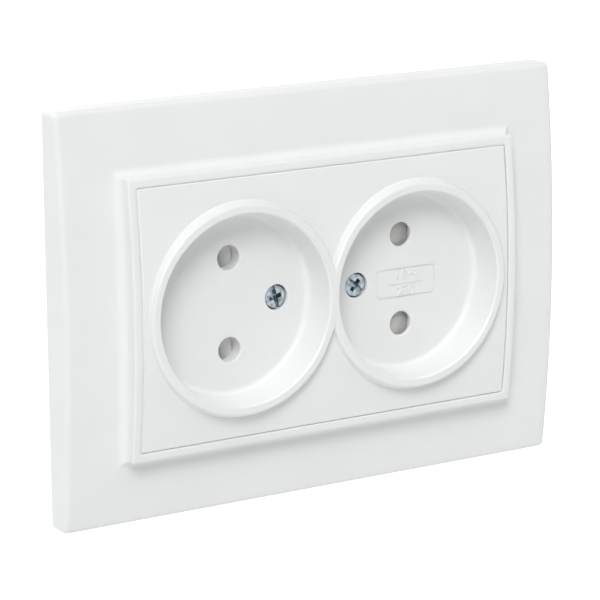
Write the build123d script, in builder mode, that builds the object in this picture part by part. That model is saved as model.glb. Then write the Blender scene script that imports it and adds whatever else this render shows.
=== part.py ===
from build123d import *
import os

# Double flush wall socket: a domed frame, a cover with two round wells for two-pin plugs, and behind
# them the shutters, the contacts and terminals in their base, the support plate and the claws.
# X runs right, Y into the wall and Z up, and the wall is the plane Y = 0.
# A level is a distance out from the wall, so a negative level lies inside the wall box.
os.makedirs("parts", exist_ok=True)

# Plug and wells
pin_spacing = 19.0
pin_diameter = 4.8
pin_hole_diameter = 5.1
pin_hole_round = 0.3
well_mouth_radius = 19.55
well_draft = 0.85
well_corner_radius = 1.2
well_wall = 1.5
floor_level = 5.6
floor_thickness = 3.2
right_floor_skin = 0.8
ring_level = 12.9
ring_lip = 1.9
ring_slope = 0.85
ring_foot_level = 10.3
ring_lip_round = 0.6
ring_edge_gap = 0.85
mouth_round = 0.35

# Cover
cover_width = 87.7
cover_height = 53.4
cover_level = 11.8
cover_dome_radius = 205.0
cover_corner_radius = 0.6
cover_edge_round = 0.55
cover_skin = 2.0
skirt_wall = 1.6
cover_rib = 1.2
rating_width = 14.5
rating_height = 6.3
rating_round = 0.8
rating_groove = 0.35
rating_depth = 0.18
rating_shift_x = 1.2
rating_shift_z = -0.8

# Frame
frame_width = 117.6
frame_height = 84.6
frame_level = 7.8
frame_dome_radius = 325.0
frame_corner_radius = 1.2
frame_edge_round = 1.1
frame_wall = 2.0
frame_rib = 1.2
frame_rib_pitch = 28.0
frame_ribs_across = 4
frame_ribs_upright = 2
cover_gap = 0.1
rim_wall = 1.75
rim_level = 11.9
rim_edge_round = 0.4
cove_radius = 2.0
ledge_level = 4.5
ledge_thickness = 1.5
ledge_overlap = 2.0

# Cover screws, their bosses and inserts
screw_inset = 11.05
screw_diameter = 2.9
screw_head_diameter = 4.9
screw_head_thickness = 2.0
screw_head_round = 0.3
screw_sunk = 0.4
screw_length = 10.5
screw_slot_width = 0.75
screw_slot_depth = 0.7
screw_cross_width = 0.95
screw_cross_length = 2.9
screw_cross_depth = 1.2
screw_cross_taper = 12.0
screw_tip = 0.45
left_slot_angle = -76.0
right_slot_angle = -41.0
counterbore_gap = 0.22
shank_gap = 0.2
boss_radius = 3.2
boss_level = 0.6
post_gap = 0.5
insert_diameter = 4.4
insert_length = 9.0

# Shutters, their springs and carrier
running_gap = 0.3
shutter_depth = 4.2
shutter_cover = 0.15
shutter_head_height = 6.4
shutter_land = 0.4
shutter_ramp_drop = 2.2
right_ramp_drop = 1.0
shutter_bar = 2.2
shutter_bar_level = 1.6
spring_strip = 0.25
spring_height = 2.0
spring_reach = 4.4
spring_legs = 5
spring_bend = 0.4
carrier_wall = 1.2
carrier_back = 1.0
carrier_corner_radius = 3.5
sleeve_wall = 1.0
fit_gap = 0.25

# Support plate
plate_thickness = 1.0
plate_edge = 2.8
plate_corner_radius = 6.0
plate_window_gap = 0.4
box_screw_spacing = 60.0
box_slot_length = 6.4
box_slot_width = 3.8

# Base
base_side = 2.9
base_height = 38.0
base_depth = 18.0
base_bulge = 1.8
base_edge_round = 1.0
base_back = 2.0
recess_gap = 0.3
channel_gap = 0.6
channel_height = 7.4
channel_corner_radius = 1.0

# Contacts and terminals
strip_thickness = 0.8
strip_width = 6.0
strip_end = 0.3
contact_bore = 4.6
contact_wall = 0.7
contact_mouth = 0.7
contact_mouth_depth = 1.6
contact_front_level = -4.0
contact_slot_width = 1.0
contact_slot_depth = 9.0
clip_thickness = 0.45
clip_height = 2.0
clip_opening = 2.0
clip_setback = 3.0
terminal_width = 15.0
terminal_height = 6.6
terminal_depth = 7.0
wire_spacing = 7.4
wire_hole_diameter = 3.2
wire_entry_diameter = 3.4
wire_funnel = 0.6
terminal_screw_diameter = 2.9
terminal_head_diameter = 4.0
terminal_head_thickness = 1.8
terminal_head_lift = 0.8
terminal_screw_stop = 0.8
access_gap = 0.2

# Claws and the screws of plate and claws
claw_x = 9.0
claw_offset = 3.0
claw_width = 8.0
claw_sheet = 1.2
claw_foot_level = -15.5
claw_front_level = -4.0
claw_inner_reach = 2.4
claw_outer_reach = 3.8
claw_tooth = 1.3
claw_tooth_depth = 2.2
claw_notch = 2.6
claw_hole_diameter = 4.2
claw_screw_diameter = 3.0
claw_screw_length = 20.0
claw_head_diameter = 5.6
claw_head_thickness = 1.8
plate_screw_x = 13.0
plate_lug_wall = 1.0
plate_screw_diameter = 2.4
plate_screw_length = 9.0
plate_head_diameter = 4.2
plate_head_thickness = 1.4
head_round = 0.3
head_slot_width = 0.8
head_slot_depth = 0.7

# Places worked out from the sizes above; two places closer than same_place count as one
same_place = 0.02
lip_radius = well_mouth_radius + ring_lip
ring_foot_radius = lip_radius + ring_slope
well_x = cover_width / 2 - ring_edge_gap - ring_foot_radius
screw_x = well_x - screw_inset
pin_z = pin_spacing / 2
pin_places = [(x, z) for x in (-well_x, well_x) for z in (-pin_z, pin_z)]
screw_places = [(-screw_x, 0), (screw_x, 0)]
window_width = cover_width + 2 * cover_gap
window_height = cover_height + 2 * cover_gap
rim_width = window_width + 2 * rim_wall
rim_height = window_height + 2 * rim_wall
ledge_back = ledge_level - ledge_thickness
floor_back = floor_level - floor_thickness
well_floor_radius = well_mouth_radius - well_draft
head_top_level = floor_level - screw_sunk
head_seat_level = head_top_level - screw_head_thickness

right_recess_front = floor_level - right_floor_skin
left_shutter_front = floor_back - running_gap
right_shutter_front = right_recess_front - running_gap
shutter_back = left_shutter_front - shutter_depth
carrier_inner_back = shutter_back - running_gap
carrier_back_level = carrier_inner_back - carrier_back
shutter_head_width = pin_hole_diameter + 2 * shutter_cover
shutter_outer_x = well_x + shutter_head_width / 2
shutter_travel = (shutter_head_width + pin_diameter) / 2 + running_gap
pocket_outer_x = shutter_outer_x + running_gap
pocket_inner_x = shutter_outer_x - shutter_head_width - shutter_travel - running_gap
pocket_middle_x = (pocket_outer_x + pocket_inner_x) / 2
pocket_width = pocket_outer_x - pocket_inner_x
pocket_height = pin_spacing + shutter_head_height + 2 * running_gap
carrier_width = 2 * (pocket_outer_x + carrier_wall)
carrier_height = pocket_height + 2 * carrier_wall
sleeve_bore = boss_radius + fit_gap
sleeve_radius = sleeve_bore + sleeve_wall
spring_seat_x = screw_x + sleeve_radius
spring_inner_x = spring_seat_x + spring_strip / 2
spring_outer_x = shutter_outer_x - shutter_bar - spring_strip / 2

plate_size = box_screw_spacing + box_slot_length + 2 * plate_edge
base_width = carrier_width + 2 * base_side
base_diameter = base_width + 2 * base_bulge
recess_back = carrier_back_level - recess_gap
channel_back = base_back - base_depth
strip_front = channel_back + strip_thickness
post_level = boss_level - post_gap
contact_radius = contact_bore / 2 + contact_wall
strip_length = 2 * (well_x + contact_radius + strip_end)
channel_width = strip_length + 2 * channel_gap
terminal_level = strip_front + terminal_depth / 2
terminal_places = [(-wire_spacing / 2, pin_z), (wire_spacing / 2, pin_z)]
claw_z = base_height / 2 + claw_offset
plate_screw_z = (carrier_height + plate_head_diameter) / 2 + fit_gap
plate_screw_places = [(plate_screw_x, plate_screw_z), (-plate_screw_x, -plate_screw_z)]


def mirrored(solid, plane):
    """The piece on the other side of a plane through the socket's middle."""
    with BuildPart() as other:
        add(mirror(solid, about=plane, mode=Mode.PRIVATE))
    return other.part


def domed_block(width, height, corner_round, crest, radius):
    """A block on the wall with square or rounded corners, whose front curves about a line along X."""
    with BuildPart() as block:
        with BuildSketch(Plane.XZ) as outline:
            Rectangle(width, height)
            if corner_round > 0:
                fillet(outline.vertices(), corner_round)
        extrude(amount=crest)
        with BuildSketch(Plane.YZ):
            with Locations((radius - crest, 0)):
                Circle(radius)
        extrude(amount=width, both=True, mode=Mode.INTERSECT)
    return block.part


def slotted_screw(diameter, length, head_diameter, head_thickness):
    """A screw along Z with the underside of its slotted head on Z = 0 and its tip below."""
    with BuildPart() as screw:
        with BuildSketch(Plane.XY):
            Circle(head_diameter / 2)
        extrude(amount=head_thickness)
        fillet(screw.faces().sort_by(Axis.Z)[-1].edges(), head_round)
        with BuildSketch(Plane.XY.offset(head_thickness)):
            Rectangle(head_diameter, head_slot_width)
        extrude(amount=-head_slot_depth, mode=Mode.SUBTRACT)
        with BuildSketch(Plane.XY):
            Circle(diameter / 2)
        extrude(amount=-length)
        chamfer(screw.faces().sort_by(Axis.Z)[0].edges(), screw_tip)
    return screw.part


def placed(solid, plane, turn=0):
    """The same solid set on a plane, turned about the plane's normal."""
    return plane.location * Rot(0, 0, turn) * solid


def front_plane(x, level, z):
    """A plane that faces the room at a place on the front."""
    return Plane((x, -level, z), x_dir=(1, 0, 0), z_dir=(0, -1, 0))


# Frame: a domed plate with a raised rim on a cove, hollow behind, with a ledge that the cover rests on
with BuildPart() as frame_hollow:
    add(
        domed_block(
            frame_width - 2 * frame_wall,
            frame_height - 2 * frame_wall,
            frame_corner_radius / 2,
            frame_level - frame_wall,
            frame_dome_radius - frame_wall,
        )
    )
    with BuildSketch(Plane.XZ.offset(ledge_back)):
        Rectangle(rim_width, rim_height)
        with GridLocations(frame_rib_pitch, frame_height, frame_ribs_across, 2):
            Rectangle(frame_rib, frame_height - rim_height)
        with GridLocations(frame_width, frame_rib_pitch, 2, frame_ribs_upright):
            Rectangle(frame_width - rim_width, frame_rib)
    extrude(amount=frame_level, mode=Mode.SUBTRACT)

with BuildPart() as frame:
    add(domed_block(frame_width, frame_height, frame_corner_radius, frame_level, frame_dome_radius))
    fillet(frame.faces().sort_by(Axis.Y)[0].edges(), frame_edge_round)
    add(domed_block(rim_width, rim_height, 0, rim_level, cover_dome_radius))
    plate_face = frame.faces().filter_by(lambda face: len(face.inner_wires()) > 0)[0]
    fillet(plate_face.inner_wires()[0].edges(), cove_radius)
    fillet(frame.faces().sort_by(Axis.Y)[0].edges(), rim_edge_round)
    with BuildSketch(Plane.XZ.offset(ledge_level)):
        RectangleRounded(window_width, window_height, cover_corner_radius + cover_gap)
    extrude(amount=rim_level, mode=Mode.SUBTRACT)
    with BuildSketch(Plane.XZ):
        Rectangle(window_width - 2 * ledge_overlap, window_height - 2 * ledge_overlap)
    extrude(amount=rim_level, mode=Mode.SUBTRACT)
    add(frame_hollow.part, mode=Mode.SUBTRACT)
frame.part.label = "frame"
export_step(frame.part, "parts/frame.step")

# Cover: a domed tray with two cups, whose rings stand out of it and merge in the middle
with BuildPart() as cover_hollow:
    add(
        domed_block(
            cover_width - 2 * skirt_wall,
            cover_height - 2 * skirt_wall,
            0,
            cover_level - cover_skin,
            cover_dome_radius - cover_skin,
        )
    )
    with BuildSketch(Plane.XZ.offset(ledge_level)):
        with GridLocations(2 * well_x, cover_height, 2, 2):
            Rectangle(cover_rib, cover_height / 2)
    extrude(amount=cover_level, mode=Mode.SUBTRACT)

with BuildPart() as cup:
    with BuildSketch(Plane.XY) as cup_section:
        with BuildLine():
            Polyline(
                (0, -floor_back),
                (well_floor_radius + well_wall - well_corner_radius, -floor_back),
                (well_floor_radius + well_wall, -floor_back - well_corner_radius),
                (well_mouth_radius + well_wall, -ring_foot_level + ring_lip),
                (ring_foot_radius, -ring_foot_level),
                (lip_radius, -ring_level),
                (0, -ring_level),
                close=True,
            )
        make_face()
        fillet(cup_section.vertices().group_by(Axis.Y)[0].sort_by(Axis.X)[-1], ring_lip_round)
    revolve(axis=Axis.Y)

with BuildPart() as well:
    with BuildSketch(Plane.XY) as well_section:
        with BuildLine():
            Polyline(
                (0, -ring_level - mouth_round),
                (well_mouth_radius + mouth_round, -ring_level - mouth_round),
                (well_mouth_radius + mouth_round, -ring_level),
                (well_mouth_radius, -ring_level + mouth_round),
                (well_floor_radius, -floor_level),
                (0, -floor_level),
                close=True,
            )
        make_face()
        fillet(well_section.vertices().group_by(Axis.Y)[-1].sort_by(Axis.X)[-1], well_corner_radius)
    revolve(axis=Axis.Y)

with BuildPart() as cover:
    add(domed_block(cover_width, cover_height, cover_corner_radius, cover_level, cover_dome_radius))
    fillet(cover.faces().sort_by(Axis.Y)[0].edges(), cover_edge_round)
    with BuildSketch(Plane.XZ):
        Rectangle(cover_width, cover_height)
    extrude(amount=ledge_level, mode=Mode.SUBTRACT)
    add(cover_hollow.part, mode=Mode.SUBTRACT)
    with Locations((-well_x, 0, 0), (well_x, 0, 0)):
        add(cup.part)
    with BuildSketch(Plane.XZ.offset(boss_level)):
        with Locations(*screw_places):
            Circle(boss_radius)
    extrude(amount=floor_back - boss_level)
    with Locations((-well_x, 0, 0), (well_x, 0, 0)):
        add(well.part, mode=Mode.SUBTRACT)
    with BuildSketch(Plane.XZ.offset(head_seat_level)):
        with Locations(*screw_places):
            Circle(screw_head_diameter / 2 + counterbore_gap)
    extrude(amount=screw_head_thickness + screw_sunk, mode=Mode.SUBTRACT)
    with BuildSketch(Plane.XZ.offset(boss_level)):
        with Locations(*screw_places):
            Circle(screw_diameter / 2 + shank_gap)
    extrude(amount=floor_level, mode=Mode.SUBTRACT)
    with BuildSketch(Plane.XZ.offset(floor_level)):
        with Locations(*pin_places):
            Circle(pin_hole_diameter / 2)
    extrude(amount=-floor_thickness, mode=Mode.SUBTRACT)
    pin_hole_edges = cover.edges().filter_by(GeomType.CIRCLE).filter_by(
        lambda edge: abs(edge.radius - pin_hole_diameter / 2) < same_place
        and abs(edge.center().Y + floor_level) < same_place
    )
    fillet(pin_hole_edges, pin_hole_round)
    with BuildSketch(Plane.XZ.offset(floor_back)):
        with Locations((pocket_middle_x, -pin_z), (pocket_middle_x, pin_z)):
            Rectangle(pocket_width, shutter_head_height + 2 * running_gap)
    extrude(amount=right_recess_front - floor_back, mode=Mode.SUBTRACT)
    with BuildSketch(Plane.XZ.offset(floor_level)):
        with Locations((well_x + rating_shift_x, rating_shift_z)):
            RectangleRounded(rating_width, rating_height, rating_round)
            RectangleRounded(
                rating_width - 2 * rating_groove,
                rating_height - 2 * rating_groove,
                rating_round - rating_groove,
                mode=Mode.SUBTRACT,
            )
    extrude(amount=-rating_depth, mode=Mode.SUBTRACT)
cover.part.label = "cover"
export_step(cover.part, "parts/cover.step")

# Cover screw: flat head with a cross recess and a slot across it, made along Z
with BuildPart() as cover_screw:
    with BuildSketch(Plane.XY):
        Circle(screw_head_diameter / 2)
    extrude(amount=screw_head_thickness)
    fillet(cover_screw.faces().sort_by(Axis.Z)[-1].edges(), screw_head_round)
    with BuildSketch(Plane.XY.offset(screw_head_thickness)):
        Rectangle(screw_head_diameter, screw_slot_width)
    extrude(amount=-screw_slot_depth, mode=Mode.SUBTRACT)
    with BuildSketch(Plane.XY.offset(screw_head_thickness)):
        Rectangle(screw_cross_length, screw_cross_width)
        Rectangle(screw_cross_width, screw_cross_length)
    extrude(amount=-screw_cross_depth, taper=screw_cross_taper, mode=Mode.SUBTRACT)
    with BuildSketch(Plane.XY):
        Circle(screw_diameter / 2)
    extrude(amount=-screw_length)
    chamfer(cover_screw.faces().sort_by(Axis.Z)[0].edges(), screw_tip)

with BuildPart() as cover_screws:
    add(placed(cover_screw.part, front_plane(-screw_x, head_seat_level, 0), left_slot_angle))
    add(placed(cover_screw.part, front_plane(screw_x, head_seat_level, 0), right_slot_angle))
cover_screws.part.label = "cover_screws"
export_step(cover_screws.part, "parts/cover_screws.step")


# Shutters: two ramped heads on a bar, which a plug's pins push towards the middle
def shutter(front, ramp_drop):
    """A shutter of the left well, with the level of its front and the depth of its ramps."""
    with BuildPart() as slider:
        with BuildSketch(Plane.XZ.offset(shutter_back)):
            with Locations((-well_x, -pin_z), (-well_x, pin_z)):
                Rectangle(shutter_head_width, shutter_head_height)
        extrude(amount=front - shutter_back)
        with BuildSketch(Plane.XY):
            with BuildLine():
                Polyline(
                    (-shutter_outer_x, -front),
                    (-shutter_outer_x, -front + ramp_drop),
                    (-shutter_outer_x + shutter_head_width - shutter_land, -front),
                    close=True,
                )
            make_face()
        extrude(amount=pin_spacing, both=True, mode=Mode.SUBTRACT)
        with BuildSketch(Plane.XZ.offset(shutter_back)):
            with Locations((-shutter_outer_x + shutter_bar / 2, 0)):
                Rectangle(shutter_bar, pin_spacing - shutter_head_height)
        extrude(amount=shutter_bar_level - shutter_back)
    return slider.part


left_shutter = shutter(left_shutter_front, shutter_ramp_drop)
left_shutter.label = "left_shutter"
export_step(left_shutter, "parts/left_shutter.step")

right_shutter = mirrored(shutter(right_shutter_front, right_ramp_drop), Plane.YZ)
right_shutter.label = "right_shutter"
export_step(right_shutter, "parts/right_shutter.step")

# Spring of the left shutter: a strip bent to and fro between the shutter's bar and the screw sleeve
spring_pitch = (spring_outer_x - spring_inner_x) / (spring_legs - 1)
spring_points = [
    (-spring_outer_x + leg * spring_pitch, end * spring_reach)
    for leg in range(spring_legs)
    for end in ((-1, 1) if leg % 2 == 0 else (1, -1))
]
with BuildPart() as left_shutter_spring:
    with BuildLine(Plane.XZ.offset(shutter_back + running_gap)) as spring_line:
        FilletPolyline(*spring_points, radius=spring_bend)
    with BuildSketch(Plane(spring_line.line @ 0, x_dir=(1, 0, 0), z_dir=spring_line.line % 0)):
        with Locations((0, -spring_height / 2)):
            Rectangle(spring_strip, spring_height)
    sweep(path=spring_line.line)
left_shutter_spring.part.label = "left_shutter_spring"
export_step(left_shutter_spring.part, "parts/left_shutter_spring.step")

right_shutter_spring = mirrored(left_shutter_spring.part, Plane.YZ)
right_shutter_spring.label = "right_shutter_spring"
export_step(right_shutter_spring, "parts/right_shutter_spring.step")

# Shutter carrier: a tray behind the wells with a pocket for each shutter and a sleeve for each screw boss
with BuildPart() as shutter_carrier:
    with BuildSketch(Plane.XZ.offset(carrier_back_level)):
        RectangleRounded(carrier_width, carrier_height, carrier_corner_radius)
    extrude(amount=floor_back - carrier_back_level)
    with BuildSketch(Plane.XZ.offset(carrier_inner_back)):
        with Locations((-pocket_middle_x, 0), (pocket_middle_x, 0)):
            Rectangle(pocket_width, pocket_height)
        Rectangle(2 * (pocket_inner_x - carrier_wall), pocket_height)
        with Locations(*screw_places):
            Circle(sleeve_radius, mode=Mode.SUBTRACT)
    extrude(amount=floor_back - carrier_inner_back, mode=Mode.SUBTRACT)
    with BuildSketch(Plane.XZ.offset(carrier_back_level)):
        with Locations(*screw_places):
            Circle(sleeve_bore)
        with Locations(*pin_places):
            Circle(pin_hole_diameter / 2)
    extrude(amount=floor_back - carrier_back_level, mode=Mode.SUBTRACT)
shutter_carrier.part.label = "shutter_carrier"
export_step(shutter_carrier.part, "parts/shutter_carrier.step")

# Support plate: flat steel with a window for the carrier and slots for the wall box's screws
with BuildPart() as support_plate:
    with BuildSketch(Plane.XZ):
        RectangleRounded(plate_size, plate_size, plate_corner_radius)
        RectangleRounded(
            carrier_width + 2 * plate_window_gap,
            carrier_height + 2 * plate_window_gap,
            carrier_corner_radius + plate_window_gap,
            mode=Mode.SUBTRACT,
        )
        with GridLocations(box_screw_spacing, box_screw_spacing, 2, 1):
            SlotOverall(box_slot_length, box_slot_width, mode=Mode.SUBTRACT)
        with GridLocations(box_screw_spacing, box_screw_spacing, 1, 2):
            SlotOverall(box_slot_length, box_slot_width, rotation=90, mode=Mode.SUBTRACT)
        with Locations((-claw_x, claw_z), (claw_x, -claw_z)):
            Circle(claw_screw_diameter / 2 + fit_gap, mode=Mode.SUBTRACT)
        with Locations(*plate_screw_places):
            Circle(plate_screw_diameter / 2 + fit_gap, mode=Mode.SUBTRACT)
    extrude(amount=plate_thickness)
support_plate.part.label = "support_plate"
export_step(support_plate.part, "parts/support_plate.step")

# Base: a block inside the wall box, with a recess for the carrier, contact channels, screw posts and lugs
with BuildPart() as base:
    with BuildSketch(Plane.XZ):
        Rectangle(base_width, base_height)
        Circle(base_diameter / 2, mode=Mode.INTERSECT)
    extrude(amount=-base_depth)
    fillet(base.faces().sort_by(Axis.Y)[-1].edges(), base_edge_round)
    with BuildSketch(Plane.XZ):
        with Locations(*plate_screw_places):
            Circle(plate_screw_diameter / 2 + plate_lug_wall)
    extrude(amount=plate_thickness - plate_screw_length)
    with BuildSketch(Plane.XZ):
        RectangleRounded(
            carrier_width + 2 * recess_gap,
            carrier_height + 2 * recess_gap,
            carrier_corner_radius + recess_gap,
        )
    extrude(amount=recess_back, mode=Mode.SUBTRACT)
    with BuildSketch(Plane.XZ):
        with Locations((0, -pin_z), (0, pin_z)):
            RectangleRounded(channel_width, channel_height, channel_corner_radius)
    extrude(amount=channel_back, mode=Mode.SUBTRACT)
    with BuildSketch(Plane.XZ.offset(recess_back)):
        with Locations(*screw_places):
            Circle(boss_radius)
    extrude(amount=post_level - recess_back)
    with BuildSketch(Plane.XZ.offset(post_level)):
        with Locations(*screw_places):
            Circle(insert_diameter / 2)
    extrude(amount=-insert_length, mode=Mode.SUBTRACT)
    with BuildSketch(Plane.XZ):
        with Locations(*plate_screw_places):
            Circle(plate_screw_diameter / 2)
    extrude(amount=plate_thickness - plate_screw_length, mode=Mode.SUBTRACT)
    with BuildSketch(Plane.XZ.offset(-base_depth)):
        with GridLocations(wire_spacing, pin_spacing, 2, 2):
            Circle(wire_entry_diameter / 2)
    extrude(amount=base_back, mode=Mode.SUBTRACT)
    wire_entry_edges = base.edges().filter_by(GeomType.CIRCLE).filter_by(
        lambda edge: abs(edge.radius - wire_entry_diameter / 2) < same_place
        and abs(edge.center().Y - base_depth) < same_place
    )
    chamfer(wire_entry_edges, wire_funnel)
    with BuildSketch(Plane.XY.offset(-base_height / 2)):
        with Locations((-wire_spacing / 2, -terminal_level), (wire_spacing / 2, -terminal_level)):
            Circle(terminal_head_diameter / 2 + access_gap)
    extrude(amount=base_height / 2 - pin_z, mode=Mode.SUBTRACT)
    with BuildSketch(Plane.XY.offset(base_height / 2)):
        with Locations((-wire_spacing / 2, -terminal_level), (wire_spacing / 2, -terminal_level)):
            Circle(terminal_head_diameter / 2 + access_gap)
    extrude(amount=pin_z - base_height / 2, mode=Mode.SUBTRACT)
base.part.label = "base"
export_step(base.part, "parts/base.step")

# Brass inserts in the base's posts
with BuildPart() as screw_inserts:
    with BuildSketch(Plane.XZ.offset(post_level)):
        with Locations(*screw_places):
            Circle(insert_diameter / 2)
            Circle(screw_diameter / 2, mode=Mode.SUBTRACT)
    extrude(amount=-insert_length)
screw_inserts.part.label = "screw_inserts"
export_step(screw_inserts.part, "parts/screw_inserts.step")

# Busbar: a brass strip on the channel's floor with a slit contact sleeve for one pin of each plug
with BuildPart() as contact:
    with BuildSketch(Plane.XY):
        with BuildLine():
            Polyline(
                (contact_bore / 2, -strip_front),
                (contact_radius, -strip_front),
                (contact_radius, -contact_front_level + contact_mouth_depth),
                (contact_radius + contact_mouth, -contact_front_level),
                (contact_bore / 2 + contact_mouth, -contact_front_level),
                (contact_bore / 2, -contact_front_level + contact_mouth_depth),
                close=True,
            )
        make_face()
    revolve(axis=Axis.Y)
    with BuildSketch(Plane.XZ.offset(contact_front_level)):
        Rectangle(2 * contact_radius + 2 * contact_mouth, contact_slot_width)
        Rectangle(contact_slot_width, 2 * contact_radius + 2 * contact_mouth)
    extrude(amount=-contact_slot_depth, mode=Mode.SUBTRACT)

with BuildPart() as upper_busbar:
    with BuildSketch(Plane.XZ.offset(channel_back)):
        with Locations((0, pin_z)):
            RectangleRounded(strip_length, strip_width, channel_corner_radius)
        with Locations(*terminal_places):
            Circle(wire_entry_diameter / 2, mode=Mode.SUBTRACT)
    extrude(amount=strip_thickness)
    with Locations((-well_x, 0, pin_z), (well_x, 0, pin_z)):
        add(contact.part)
upper_busbar.part.label = "upper_busbar"
export_step(upper_busbar.part, "parts/upper_busbar.step")

lower_busbar = mirrored(upper_busbar.part, Plane.XY)
lower_busbar.label = "lower_busbar"
export_step(lower_busbar, "parts/lower_busbar.step")

# Open steel rings round the four contact sleeves
with BuildPart() as contact_springs:
    with BuildSketch(Plane.XZ.offset(contact_front_level - clip_setback)):
        with Locations(*pin_places):
            Circle(contact_radius + clip_thickness)
            Circle(contact_radius, mode=Mode.SUBTRACT)
        with Locations(*[(x, z + contact_radius) for x, z in pin_places]):
            Rectangle(clip_opening, contact_radius, mode=Mode.SUBTRACT)
    extrude(amount=-clip_height)
contact_springs.part.label = "contact_springs"
export_step(contact_springs.part, "parts/contact_springs.step")

# Terminal block: brass, with two wire holes from the back and two screw holes from the side
with BuildPart() as upper_terminal:
    with BuildSketch(Plane.XZ.offset(strip_front)):
        with Locations((0, pin_z)):
            Rectangle(terminal_width, terminal_height)
        with Locations(*terminal_places):
            Circle(wire_hole_diameter / 2, mode=Mode.SUBTRACT)
    extrude(amount=terminal_depth)
    with BuildSketch(Plane.XY.offset(pin_z)):
        with Locations((-wire_spacing / 2, -terminal_level), (wire_spacing / 2, -terminal_level)):
            Circle(terminal_screw_diameter / 2)
    extrude(amount=terminal_height / 2, mode=Mode.SUBTRACT)
upper_terminal.part.label = "upper_terminal"
export_step(upper_terminal.part, "parts/upper_terminal.step")

lower_terminal = mirrored(upper_terminal.part, Plane.XY)
lower_terminal.label = "lower_terminal"
export_step(lower_terminal, "parts/lower_terminal.step")

# Terminal screws, reached through the base's upper and lower sides
terminal_head_z = pin_z + terminal_height / 2 + terminal_head_lift
terminal_screw = slotted_screw(
    terminal_screw_diameter,
    terminal_head_z - pin_z - terminal_screw_stop,
    terminal_head_diameter,
    terminal_head_thickness,
)
with BuildPart() as terminal_screws:
    for x in (-wire_spacing / 2, wire_spacing / 2):
        add(placed(terminal_screw, Plane((x, -terminal_level, terminal_head_z))))
        add(placed(terminal_screw, Plane((x, -terminal_level, -terminal_head_z), z_dir=(0, 0, -1))))
terminal_screws.part.label = "terminal_screws"
export_step(terminal_screws.part, "parts/terminal_screws.step")

# Claw: bent steel strip, loose on its screw, with two teeth that swing out against the wall box
claw_inner_z = claw_z - claw_inner_reach
claw_outer_z = claw_z + claw_outer_reach
claw_back_level = claw_foot_level - claw_sheet
with BuildPart() as upper_claw:
    with BuildSketch(Plane.YZ.offset(-claw_x)) as claw_section:
        with BuildLine():
            Polyline(
                (-claw_foot_level, claw_inner_z),
                (-claw_back_level, claw_inner_z),
                (-claw_back_level, claw_outer_z),
                (-claw_front_level + claw_tooth_depth, claw_outer_z),
                (-claw_front_level, claw_outer_z + claw_tooth),
                (-claw_front_level, claw_outer_z - claw_sheet),
                (-claw_foot_level, claw_outer_z - claw_sheet),
                close=True,
            )
        make_face()
        fillet(claw_section.vertices().group_by(Axis.X)[-1].sort_by(Axis.Y)[-1], claw_sheet)
    extrude(amount=claw_width / 2, both=True)
    with BuildSketch(Plane.XY.offset(claw_outer_z - claw_sheet)):
        with Locations((-claw_x, -claw_front_level)):
            RegularPolygon(claw_notch, 4, rotation=45)
    extrude(amount=claw_sheet + claw_tooth, mode=Mode.SUBTRACT)
    with BuildSketch(Plane.XZ.offset(claw_back_level)):
        with Locations((-claw_x, claw_z)):
            Circle(claw_hole_diameter / 2)
    extrude(amount=claw_sheet, mode=Mode.SUBTRACT)
upper_claw.part.label = "upper_claw"
export_step(upper_claw.part, "parts/upper_claw.step")

with BuildPart() as lower_claw:
    add(upper_claw.part.rotate(Axis.Y, 180))
lower_claw.part.label = "lower_claw"
export_step(lower_claw.part, "parts/lower_claw.step")

# Claw screws and plate screws, with their heads on the front of the support plate
claw_screw = slotted_screw(claw_screw_diameter, claw_screw_length, claw_head_diameter, claw_head_thickness)
with BuildPart() as claw_screws:
    add(placed(claw_screw, front_plane(-claw_x, plate_thickness, claw_z)))
    add(placed(claw_screw, front_plane(claw_x, plate_thickness, -claw_z)))
claw_screws.part.label = "claw_screws"
export_step(claw_screws.part, "parts/claw_screws.step")

plate_screw = slotted_screw(
    plate_screw_diameter,
    plate_screw_length,
    plate_head_diameter,
    plate_head_thickness,
)
with BuildPart() as plate_screws:
    add(placed(plate_screw, front_plane(plate_screw_x, plate_thickness, plate_screw_z)))
    add(placed(plate_screw, front_plane(-plate_screw_x, plate_thickness, -plate_screw_z)))
plate_screws.part.label = "plate_screws"
export_step(plate_screws.part, "parts/plate_screws.step")
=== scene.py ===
import math

import bmesh
import bpy
from mathutils import Matrix, Vector


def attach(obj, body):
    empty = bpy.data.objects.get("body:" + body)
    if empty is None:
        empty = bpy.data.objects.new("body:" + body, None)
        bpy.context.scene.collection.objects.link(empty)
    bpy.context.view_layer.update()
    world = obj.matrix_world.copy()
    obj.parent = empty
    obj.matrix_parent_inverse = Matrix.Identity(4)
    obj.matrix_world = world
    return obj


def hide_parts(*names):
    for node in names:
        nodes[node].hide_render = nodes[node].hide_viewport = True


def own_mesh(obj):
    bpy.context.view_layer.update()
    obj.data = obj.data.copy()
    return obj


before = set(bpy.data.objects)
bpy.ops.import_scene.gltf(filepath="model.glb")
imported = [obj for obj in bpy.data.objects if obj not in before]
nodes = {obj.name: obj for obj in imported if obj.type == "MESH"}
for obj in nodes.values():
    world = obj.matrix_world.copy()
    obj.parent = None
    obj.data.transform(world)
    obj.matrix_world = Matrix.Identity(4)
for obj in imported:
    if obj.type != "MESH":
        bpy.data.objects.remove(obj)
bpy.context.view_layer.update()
scene = bpy.context.scene

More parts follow.
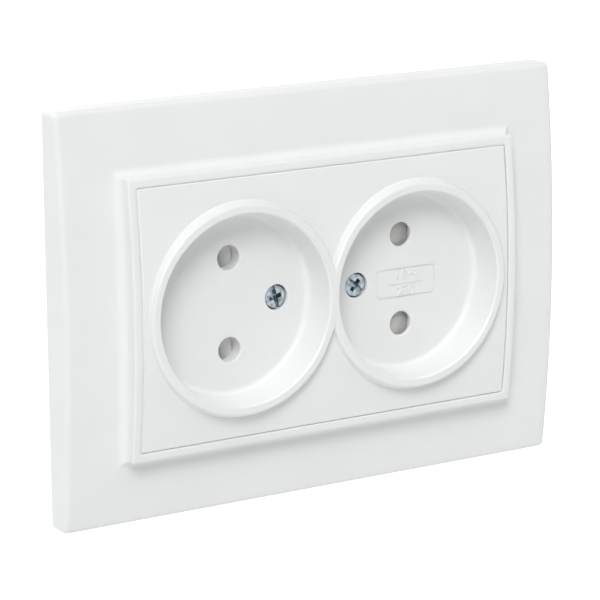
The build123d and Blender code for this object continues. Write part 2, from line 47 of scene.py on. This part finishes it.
# Sizes in millimetres, as in the part's source; a level is a distance out from the wall
MM = 0.001
frame_width = 117.6
frame_height = 84.6
frame_level = 7.8
frame_dome_radius = 325.0
frame_corner_radius = 1.2
frame_edge_round = 1.1
frame_wall = 2.0
frame_rib = 1.2
frame_rib_pitch = 28.0
upright_ribs = 4
cross_ribs = 2
cover_width = 87.7
cover_height = 53.4
cover_dome_radius = 205.0
cover_corner_radius = 0.6
cover_gap = 0.1
rim_wall = 1.75
rim_level = 11.9
rim_edge_round = 0.4
rim_corner_round = 0.3
rim_inner_round = 0.8
rim_inner_drop = 0.15
groove_depth = 0.16
groove_slit = 0.02
cove_radius = 2.0
ledge_level = 4.5
ledge_thickness = 1.5
ledge_overlap = 2.0
floor_level = 5.6
head_top_level = 5.2
# Levels below the screw heads' top where painted shade in their recesses starts and where it is full
recess_start = 0.1
recess_end = 0.7
rating_x = 21.9
rating_z = -0.8
rating_line_length = 8.6
rating_line_width = 0.32
rating_row_shift = 1.8
digit_size = 2.9
digit_raise = 0.15
digit_bevel = 0.04
claw_x = 9.0
claw_z = 22.0
claw_screw_radius = 1.5
thread_front_level = -1.5
thread_back_level = -18.6
thread_pitch = 0.5
thread_height = 0.14
thread_foot = 0.42
base_depth = 18.0
wire_spacing = 7.4
pin_spacing = 19.0
collar_radius = 2.4
collar_wall = 0.6
collar_rise = 0.35
mark_x = 16.0
mark_z = 11.5
mark_radius = 2.1
mark_wall = 0.25
mark_rise = 0.08
ring_sink = 0.05

window_width = cover_width + 2 * cover_gap
window_height = cover_height + 2 * cover_gap
rim_width = window_width + 2 * rim_wall
rim_height = window_height + 2 * rim_wall
ledge_back = ledge_level - ledge_thickness

# How finely the loops follow the sides, the corners and the roundings
side_steps = 48
across_steps = 16
corner_steps = 6
round_steps = 6
cove_steps = 10
plate_steps = 8
turn_steps = 24
ring_steps = 40
bevel_steps = 1
sharp_angle = math.radians(40)
weld_distance = 1e-7

# Looks: patches and grain in millimetres, and how far shine and relief vary
white = (1, 1, 1, 1)
even = (1, 1, 1)
ramp_start = 0.3
ramp_end = 0.7
noise_detail = 3.0
plastic_specular = 0.45
plastic_flow = 14.0
plastic_patch = 3.0
plastic_grain = 0.12
plastic_shine_span = 0.08
plastic_relief = 0.15
metal_grain = 0.5
metal_detail = 4.0
metal_shine_span = 0.18
metal_relief = 0.2
metal_relief_depth = 0.01
floor_patch = 900.0
floor_roughness = 0.9
floor_specular = 0.1
floor_dark = (0.93, 0.93, 0.93)
floor_light = (0.95, 0.95, 0.95)
floor_glow = 0.36

# Floor and camera
floor_drop = 0.50
floor_size = 12.0
camera_place = Vector((-306.1, -494.2, 133.5)) * MM
camera_yaw = math.radians(31.73)
camera_pitch = math.radians(13.21)
camera_roll = math.radians(-0.35)
camera_lens = 173.6
camera_near = 0.01
sensor_width = 36.0

# Light: each lamp's direction as seen from the part, its strength and its spread
left_light = 0.44
lamps = {
    "key": (Vector((-0.46, -0.61, 0.64)), 1.85, math.radians(24)),
    "top": (Vector((0.0, -0.35, 0.94)), 0.76, math.radians(50)),
    "fill_right": (Vector((0.5, -0.4, 0.77)), 0.45, math.radians(50)),
    "back": (Vector((-0.2, 0.8, 0.55)), 1.15, math.radians(85)),
}


# Pieces and meshes

def link(obj):
    """The object, put into the scene."""
    scene.collection.objects.link(obj)
    return obj


def mesh_piece(name, bm, material):
    """A finished mesh as a piece that rides on the socket."""
    bmesh.ops.recalc_face_normals(bm, faces=bm.faces)
    mesh = bpy.data.meshes.new(name)
    bm.to_mesh(mesh)
    bm.free()
    mesh.shade_smooth()
    mesh.set_sharp_from_angle(angle=sharp_angle)
    mesh.materials.append(material)
    obj = link(bpy.data.objects.new(name, mesh))
    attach(obj, "socket")
    return obj


def add_point(bm, x, level, z):
    """A mesh point at a place in millimetres."""
    return bm.verts.new((x * MM, -level * MM, z * MM))


def add_box(bm, low, high):
    """A box between two corners, given as (x, level, z)."""
    corners = [
        add_point(bm, x, level, z)
        for x in (low[0], high[0])
        for level in (low[1], high[1])
        for z in (low[2], high[2])
    ]
    for face in ((0, 1, 3, 2), (4, 6, 7, 5), (0, 4, 5, 1), (2, 3, 7, 6), (0, 2, 6, 4), (1, 5, 7, 3)):
        bm.faces.new([corners[index] for index in face])


def join_rings(bm, rings):
    """Faces between each ring of points and the next one."""
    for here, there in zip(rings, rings[1:]):
        for index in range(len(here)):
            after = (index + 1) % len(here)
            bm.faces.new((here[index], here[after], there[after], there[index]))


def blend(start, end, share):
    """The value that lies a share of the way from start to end."""
    return start + (end - start) * share


# Materials

def add_node(tree, kind, **settings):
    """A new node with its settings."""
    node = tree.nodes.new(kind)
    for setting, value in settings.items():
        setattr(node, setting, value)
    return node


def shown_rays(tree):
    """1 for rays from the camera, in reflections and through clear things, and 0 for all others."""
    path = add_node(tree, "ShaderNodeLightPath")
    seen = add_node(tree, "ShaderNodeMath", operation="MAXIMUM")
    through = add_node(tree, "ShaderNodeMath", operation="MAXIMUM")
    tree.links.new(path.outputs["Is Camera Ray"], seen.inputs[0])
    tree.links.new(path.outputs["Is Glossy Ray"], seen.inputs[1])
    tree.links.new(seen.outputs[0], through.inputs[0])
    tree.links.new(path.outputs["Is Transmission Ray"], through.inputs[1])
    return through.outputs[0]


class Shader:
    """A material whose nodes are made by short calls."""

    def __init__(self, name, **sockets):
        self.material = bpy.data.materials.new(name)
        self.material.use_nodes = True
        self.tree = self.material.node_tree
        self.surface = self.tree.nodes["Principled BSDF"]
        self.place = self.add("ShaderNodeTexCoord").outputs["Object"]
        for socket, value in sockets.items():
            self.surface.inputs[socket.replace("_", " ")].default_value = value

    def add(self, kind, **settings):
        """A new node of this material."""
        return add_node(self.tree, kind, **settings)

    def noise(self, size, detail=noise_detail, stretch=even):
        """Noise whose grain is about size millimetres across."""
        scale = self.add("ShaderNodeMapping")
        scale.inputs["Scale"].default_value = stretch
        texture = self.add("ShaderNodeTexNoise")
        texture.inputs["Scale"].default_value = 1 / (size * MM)
        texture.inputs["Detail"].default_value = detail
        self.tree.links.new(self.place, scale.inputs["Vector"])
        self.tree.links.new(scale.outputs["Vector"], texture.inputs["Vector"])
        return texture.outputs["Fac"]

    def colours(self, factor, dark, light):
        """The surface's colour runs from dark to light with the factor."""
        ramp = self.add("ShaderNodeValToRGB")
        ramp.color_ramp.elements[0].color = (*dark, 1)
        ramp.color_ramp.elements[0].position = ramp_start
        ramp.color_ramp.elements[1].color = (*light, 1)
        ramp.color_ramp.elements[1].position = ramp_end
        self.tree.links.new(factor, ramp.inputs["Fac"])
        self.tree.links.new(ramp.outputs["Color"], self.surface.inputs["Base Color"])

    def paint_recess_shade(self, front, back, colour):
        """The surface takes on a colour from one level to a lower one, as painted shade that stands in for
        the shade in a recess.
        """
        axes = self.add("ShaderNodeSeparateXYZ")
        depth = self.add("ShaderNodeMapRange")
        depth.inputs["From Min"].default_value = -front * MM
        depth.inputs["From Max"].default_value = -back * MM
        mix = self.add("ShaderNodeMix", data_type="RGBA")
        mix.inputs["B"].default_value = (*colour, 1)
        base = self.surface.inputs["Base Color"]
        self.tree.links.new(self.place, axes.inputs[0])
        self.tree.links.new(axes.outputs["Y"], depth.inputs["Value"])
        self.tree.links.new(depth.outputs["Result"], mix.inputs["Factor"])
        self.tree.links.new(base.links[0].from_socket, mix.inputs["A"])
        self.tree.links.new(mix.outputs["Result"], base)

    def roughness(self, factor, low, span):
        """The roughness rises from low by span with the factor."""
        rise = self.add("ShaderNodeMapRange")
        rise.inputs["To Min"].default_value = low
        rise.inputs["To Max"].default_value = low + span
        self.tree.links.new(factor, rise.inputs["Value"])
        self.tree.links.new(rise.outputs["Result"], self.surface.inputs["Roughness"])

    def bump(self, height, strength, depth):
        """Relief of about depth millimetres."""
        relief = self.add("ShaderNodeBump")
        relief.inputs["Strength"].default_value = strength
        relief.inputs["Distance"].default_value = depth * MM
        self.tree.links.new(height, relief.inputs["Height"])
        self.tree.links.new(relief.outputs["Normal"], self.surface.inputs["Normal"])


def moulded_plastic(name, dark, light, gloss, relief_depth):
    """Plastic with faint flow marks and the fine grain of its mould."""
    shader = Shader(name, Specular_IOR_Level=plastic_specular)
    shader.colours(shader.noise(plastic_flow), dark, light)
    shader.roughness(shader.noise(plastic_patch), gloss, plastic_shine_span)
    shader.bump(shader.noise(plastic_grain), plastic_relief, relief_depth)
    return shader.material


def plated_metal(name, dark, light, gloss, stretch=even, size=metal_grain, recess_shade=None):
    """Metal with the uneven shine of its plating; recess_shade paints shade into the sunk parts of the cover
    screws.
    """
    shader = Shader(name, Metallic=1.0)
    shader.colours(shader.noise(size, metal_detail, stretch), dark, light)
    shader.roughness(shader.noise(size * 2, noise_detail, stretch), gloss, metal_shine_span)
    shader.bump(shader.noise(size / 2, noise_detail, stretch), metal_relief, metal_relief_depth)
    if recess_shade:
        shader.paint_recess_shade(head_top_level - recess_start, head_top_level - recess_end, recess_shade)
    return shader.material


white_look = ((0.775, 0.785, 0.785), (0.795, 0.805, 0.805), 0.33, 0.004)
# Painted shade: the colour the sunk parts of the cover screws take on, standing in for the shade in their
# recesses
recess_shade_colour = (0.30, 0.355, 0.39)
along_claw = (1, 1, 0.15)
along_strip = (0.2, 1, 1)
frame_plastic = moulded_plastic("frame_plastic", *white_look)
cover_plastic = moulded_plastic("cover_plastic", *white_look)
shutter_plastic = moulded_plastic("shutter_plastic", (0.84, 0.84, 0.81), (0.87, 0.87, 0.85), 0.38, 0.006)
# Painted shade: the right shutter is a darker copy of the shutter plastic, standing in for the shade on its
# ramp, which faces away from the light
right_shutter_shaded_plastic = moulded_plastic("right_shutter", (0.51, 0.51, 0.49), (0.56, 0.56, 0.54), 0.38, 0.006)
carrier_plastic = moulded_plastic("carrier_plastic", (0.74, 0.74, 0.71), (0.80, 0.80, 0.77), 0.42, 0.008)
base_plastic = moulded_plastic("base_plastic", (0.66, 0.66, 0.63), (0.73, 0.73, 0.70), 0.48, 0.012)
plated_screw = plated_metal("plated_screw", (0.50, 0.55, 0.59), (0.66, 0.71, 0.75), 0.26)
plate_steel = plated_metal("plate_steel", (0.40, 0.42, 0.43), (0.56, 0.58, 0.59), 0.36, size=2.5)
claw_steel = plated_metal("claw_steel", (0.46, 0.46, 0.44), (0.62, 0.62, 0.60), 0.34, along_claw)
spring_steel = plated_metal("spring_steel", (0.42, 0.43, 0.44), (0.58, 0.59, 0.60), 0.24)
brass = plated_metal("brass", (0.68, 0.50, 0.22), (0.84, 0.66, 0.32), 0.26, along_strip)
# Cover screws, with painted shade in their recesses
cover_screw = plated_metal(
    "cover_screw", (0.17, 0.21, 0.24), (0.48, 0.54, 0.58), 0.24, size=0.9, recess_shade=recess_shade_colour
)

node_materials = {
    "cover": cover_plastic,
    "cover_screws": cover_screw,
    "left_shutter": shutter_plastic,
    "right_shutter": right_shutter_shaded_plastic,
    "left_shutter_spring": spring_steel,
    "right_shutter_spring": spring_steel,
    "shutter_carrier": carrier_plastic,
    "support_plate": plate_steel,
    "base": base_plastic,
    "screw_inserts": brass,
    "upper_busbar": brass,
    "lower_busbar": brass,
    "contact_springs": spring_steel,
    "upper_terminal": brass,
    "lower_terminal": brass,
    "terminal_screws": plated_screw,
    "upper_claw": claw_steel,
    "lower_claw": claw_steel,
    "claw_screws": plated_screw,
    "plate_screws": plated_screw,
}
for name, material in node_materials.items():
    nodes[name].data.materials.clear()
    nodes[name].data.materials.append(material)


# Frame: closed profile swept round the cover, as rectangular loops from the back edge to the ledge

def dome(crest, radius, z):
    """The level of a dome that curves from top to bottom."""
    return crest - radius + math.sqrt(radius * radius - z * z)


def plate_surface(z):
    """The level of the frame's broad face."""
    return dome(frame_level, frame_dome_radius, z)


def rim_surface(z):
    """The level of the raised rim's front."""
    return dome(rim_level, cover_dome_radius, z)


def lowered(surface, drop):
    """A surface moved towards the wall."""
    return lambda z: surface(z) - drop


def quarter_round(steps):
    """Pairs of shares along a quarter circle, from (0, 1) to (1, 0)."""
    angles = [math.pi / 2 * step / steps for step in range(steps + 1)]
    return [(1 - math.cos(angle), 1 - math.sin(angle)) for angle in angles]


def rectangle_points(width, height, corner):
    """Points round a rectangle with rounded corners, as many for every size."""
    a = width / 2 - corner
    b = height / 2 - corner
    points = []
    for quarter, (sx, sz) in enumerate(((1, 1), (-1, 1), (-1, -1), (1, -1))):
        for step in range(corner_steps + 1):
            angle = math.pi / 2 * (quarter + step / corner_steps)
            points.append((sx * a + corner * math.cos(angle), sz * b + corner * math.sin(angle)))
        steps = across_steps if quarter % 2 == 0 else side_steps
        end = ((-sx * a, sz * (b + corner)), (sx * (a + corner), -sz * b))[quarter % 2]
        start = points[-1]
        for step in range(1, steps):
            points.append(tuple(blend(p, q, step / steps) for p, q in zip(start, end)))
    return points


def loop(width, height, corner, level):
    """A loop of places (x, level, z), with the level a number or worked out from z."""
    at = level if callable(level) else lambda z: level
    return [(x, at(z), z) for x, z in rectangle_points(width, height, corner)]


def frame_loops():
    """The frame's loops, in order round its closed profile."""
    face_width = frame_width - 2 * frame_edge_round
    face_height = frame_height - 2 * frame_edge_round
    cove_width = rim_width + 2 * cove_radius
    cove_height = rim_height + 2 * cove_radius
    slit_width = cover_width + 2 * groove_slit
    slit_height = cover_height + 2 * groove_slit
    slit_corner = cover_corner_radius + groove_slit
    opening_width = window_width - 2 * ledge_overlap
    opening_height = window_height - 2 * ledge_overlap
    inner_width = frame_width - 2 * frame_wall
    inner_height = frame_height - 2 * frame_wall
    under_plate = lowered(plate_surface, frame_wall)

    loops = [loop(frame_width, frame_height, frame_corner_radius, 0.0)]
    for inward, down in quarter_round(round_steps):
        inset = frame_edge_round * inward
        corner = max(frame_corner_radius - inset, 0)
        level = lowered(plate_surface, frame_edge_round * down)
        loops.append(loop(frame_width - 2 * inset, frame_height - 2 * inset, corner, level))
    for step in range(1, plate_steps):
        width = blend(face_width, cove_width, step / plate_steps)
        height = blend(face_height, cove_height, step / plate_steps)
        loops.append(loop(width, height, 0, plate_surface))
    for up, outward in quarter_round(cove_steps):
        reach = cove_radius * outward
        level = lowered(plate_surface, -cove_radius * up)
        loops.append(loop(rim_width + 2 * reach, rim_height + 2 * reach, rim_corner_round, level))
    for inward, down in quarter_round(round_steps):
        inset = rim_edge_round * inward
        level = lowered(rim_surface, rim_edge_round * down)
        loops.append(loop(rim_width - 2 * inset, rim_height - 2 * inset, rim_corner_round, level))
    for down, outward in quarter_round(round_steps):
        reach = rim_inner_round * outward
        corner = cover_corner_radius + cover_gap + reach
        level = lowered(rim_surface, rim_inner_drop * down)
        loops.append(loop(window_width + 2 * reach, window_height + 2 * reach, corner, level))
    loops.append(loop(slit_width, slit_height, slit_corner, lowered(rim_surface, groove_depth)))
    loops.append(loop(slit_width, slit_height, slit_corner, ledge_level))
    loops.append(loop(opening_width, opening_height, 0, ledge_level))
    loops.append(loop(opening_width, opening_height, 0, ledge_back))
    loops.append(loop(rim_width, rim_height, 0, ledge_back))
    for step in range(plate_steps + 1):
        width = blend(rim_width, inner_width, step / plate_steps)
        height = blend(rim_height, inner_height, step / plate_steps)
        loops.append(loop(width, height, 0, under_plate))
    loops.append(loop(inner_width, inner_height, 0, 0.0))
    return loops


def rib_places(count):
    """Places of evenly spaced ribs about the middle."""
    return [(index - (count - 1) / 2) * frame_rib_pitch for index in range(count)]


def add_ribs(bm):
    """Ribs behind the frame's face, from the ledge's wall to the outer wall."""
    rim_x = rim_width / 2
    rim_z = rim_height / 2
    wall_x = frame_width / 2 - frame_wall
    wall_z = frame_height / 2 - frame_wall
    half = frame_rib / 2
    upright_top = plate_surface(wall_z) - half
    cross_top = frame_level - frame_wall / 2 - half
    for side in (-1, 1):
        low_z, high_z = sorted((side * rim_z, side * (wall_z + half)))
        for x in rib_places(upright_ribs):
            add_box(bm, (x - half, ledge_back, low_z), (x + half, upright_top, high_z))
        low_x, high_x = sorted((side * rim_x, side * (wall_x + half)))
        for z in rib_places(cross_ribs):
            add_box(bm, (low_x, ledge_back, z - half), (high_x, cross_top, z + half))


def build_frame():
    bm = bmesh.new()
    rings = [[add_point(bm, *place) for place in places] for places in frame_loops()]
    join_rings(bm, rings + rings[:1])
    bmesh.ops.remove_doubles(bm, verts=bm.verts, dist=weld_distance)
    bmesh.ops.dissolve_degenerate(bm, edges=bm.edges, dist=weld_distance)
    add_ribs(bm)
    piece = mesh_piece("frame_shell", bm, frame_plastic)
    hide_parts("frame")


# Threads on the claw screws: a ridge of triangular section wound round each shank

def add_thread(bm, x, z):
    """One screw's ridge, with both ends closed."""
    turns = (thread_front_level - thread_back_level) / thread_pitch
    section = (
        (claw_screw_radius, -thread_foot / 2),
        (claw_screw_radius + thread_height, 0),
        (claw_screw_radius, thread_foot / 2),
    )
    rows = []
    for step in range(int(turns * turn_steps) + 1):
        angle = 2 * math.pi * step / turn_steps
        right = math.cos(angle)
        up = math.sin(angle)
        level = thread_front_level - thread_pitch * step / turn_steps
        rows.append(
            [add_point(bm, x + radius * right, level + shift, z + radius * up) for radius, shift in section]
        )
    join_rings(bm, rows)
    bm.faces.new(rows[0])
    bm.faces.new(rows[-1])


def build_threads():
    bm = bmesh.new()
    add_thread(bm, -claw_x, claw_z)
    add_thread(bm, claw_x, -claw_z)
    mesh_piece("claw_screw_threads", bm, plated_screw)


# Base: raised collars round the wire entries, and the faint rings that ejector pins leave

def add_ring(bm, x, z, inner, wall, rise):
    """A ring of square section on the base's back face."""
    foot = ring_sink - base_depth
    top = -base_depth - rise
    section = ((inner, foot), (inner, top), (inner + wall, top), (inner + wall, foot))
    angles = [2 * math.pi * step / ring_steps for step in range(ring_steps)]
    turns = [(math.cos(angle), math.sin(angle)) for angle in angles]
    rings = [
        [add_point(bm, x + radius * right, level, z + radius * up) for right, up in turns]
        for radius, level in section
    ]
    join_rings(bm, rings + rings[:1])


def build_base_rings():
    bm = bmesh.new()
    for side in (-1, 1):
        for end in (-1, 1):
            x = side * wire_spacing / 2
            z = end * pin_spacing / 2
            add_ring(bm, x, z, collar_radius, collar_wall, collar_rise)
            add_ring(bm, side * mark_x, end * mark_z, mark_radius, mark_wall, mark_rise)
    mesh_piece("base_rings", bm, base_plastic)


# Shutter springs: copies of the CAD nodes' strips, riding on the socket in the nodes' place

def build_spring(side):
    """A strip of the CAD node's shape, for the shutter on the given side."""
    node = nodes[f"{side}_shutter_spring"]
    piece = link(bpy.data.objects.new(f"{side}_spring_strip", node.data.copy()))
    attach(piece, "socket")
    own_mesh(piece)
    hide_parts(node.name)


# Rating field: plain raised numbers over and under a raised line

def raised_text(name, words, z):
    """A row of raised characters on the well's floor."""
    curve = bpy.data.curves.new(name, "FONT")
    curve.body = words
    curve.size = digit_size * MM
    curve.align_x = "CENTER"
    curve.align_y = "CENTER"
    curve.extrude = digit_raise * MM
    curve.bevel_depth = digit_bevel * MM
    curve.bevel_resolution = bevel_steps
    curve.materials.append(cover_plastic)
    obj = link(bpy.data.objects.new(name, curve))
    place = Matrix.Translation((rating_x * MM, -floor_level * MM, z * MM))
    obj.matrix_world = place @ Matrix.Rotation(math.pi / 2, 4, "X")
    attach(obj, "socket")


def build_rating_line():
    bm = bmesh.new()
    half_x = rating_line_length / 2
    half_z = rating_line_width / 2
    low = (rating_x - half_x, floor_level - digit_raise, rating_z - half_z)
    high = (rating_x + half_x, floor_level + digit_raise, rating_z + half_z)
    add_box(bm, low, high)
    mesh_piece("rating_line", bm, cover_plastic)


# Floor, light and camera

def build_floor():
    """A pale floor that catches the shadow and looks white."""
    bm = bmesh.new()
    bmesh.ops.create_grid(bm, x_segments=1, y_segments=1, size=floor_size / 2)
    mesh = bpy.data.meshes.new("floor")
    bm.to_mesh(mesh)
    bm.free()
    shader = Shader("floor_white", Roughness=floor_roughness, Specular_IOR_Level=floor_specular)
    shader.colours(shader.noise(floor_patch), floor_dark, floor_light)
    shader.surface.inputs["Emission Color"].default_value = white
    glow = shader.add("ShaderNodeMath", operation="MULTIPLY")
    glow.inputs[1].default_value = floor_glow
    shader.tree.links.new(shown_rays(shader.tree), glow.inputs[0])
    shader.tree.links.new(glow.outputs[0], shader.surface.inputs["Emission Strength"])
    mesh.materials.append(shader.material)
    obj = link(bpy.data.objects.new("floor", mesh))
    obj.location.z = -floor_drop


def build_world():
    """White to the camera and in reflections, and otherwise soft light from the left."""
    world = bpy.data.worlds.new("studio")
    scene.world = world
    world.use_nodes = True
    tree = world.node_tree
    light = tree.nodes["Background"]
    light.inputs["Color"].default_value = white
    shown = add_node(tree, "ShaderNodeBackground")
    shown.inputs["Color"].default_value = white
    shown.inputs["Strength"].default_value = 1.0
    direction = add_node(tree, "ShaderNodeTexCoord")
    axes = add_node(tree, "ShaderNodeSeparateXYZ")
    leftward = add_node(tree, "ShaderNodeMath", operation="MULTIPLY")
    leftward.inputs[1].default_value = -left_light
    level = add_node(tree, "ShaderNodeMath", operation="MAXIMUM")
    level.inputs[1].default_value = 0.0
    mix = add_node(tree, "ShaderNodeMixShader")
    tree.links.new(direction.outputs["Generated"], axes.inputs[0])
    tree.links.new(axes.outputs["X"], leftward.inputs[0])
    tree.links.new(leftward.outputs[0], level.inputs[0])
    tree.links.new(level.outputs[0], light.inputs["Strength"])
    tree.links.new(shown_rays(tree), mix.inputs["Fac"])
    tree.links.new(light.outputs[0], mix.inputs[1])
    tree.links.new(shown.outputs[0], mix.inputs[2])
    tree.links.new(mix.outputs[0], tree.nodes["World Output"].inputs["Surface"])


def build_lamps():
    for name, (direction, strength, spread) in lamps.items():
        lamp = bpy.data.lights.new(name, "SUN")
        lamp.energy = strength
        lamp.angle = spread
        obj = link(bpy.data.objects.new(name, lamp))
        obj.rotation_euler = direction.to_track_quat("Z", "Y").to_euler()


def build_camera():
    lens = bpy.data.cameras.new("camera")
    lens.lens = camera_lens
    lens.sensor_width = sensor_width
    lens.clip_start = camera_near
    obj = link(bpy.data.objects.new("camera", lens))
    obj.matrix_world = (
        Matrix.Translation(camera_place)
        @ Matrix.Rotation(-camera_yaw, 4, "Z")
        @ Matrix.Rotation(math.pi / 2 - camera_pitch, 4, "X")
        @ Matrix.Rotation(camera_roll, 4, "Z")
    )
    scene.camera = obj


build_frame()
build_threads()
build_base_rings()
build_spring("left")
build_spring("right")
raised_text("rating_upper", "16 ~", rating_z + rating_row_shift)
raised_text("rating_lower", "230", rating_z - rating_row_shift)
build_rating_line()
build_floor()
build_world()
build_lamps()
build_camera()
scene.view_settings.view_transform = "Standard"
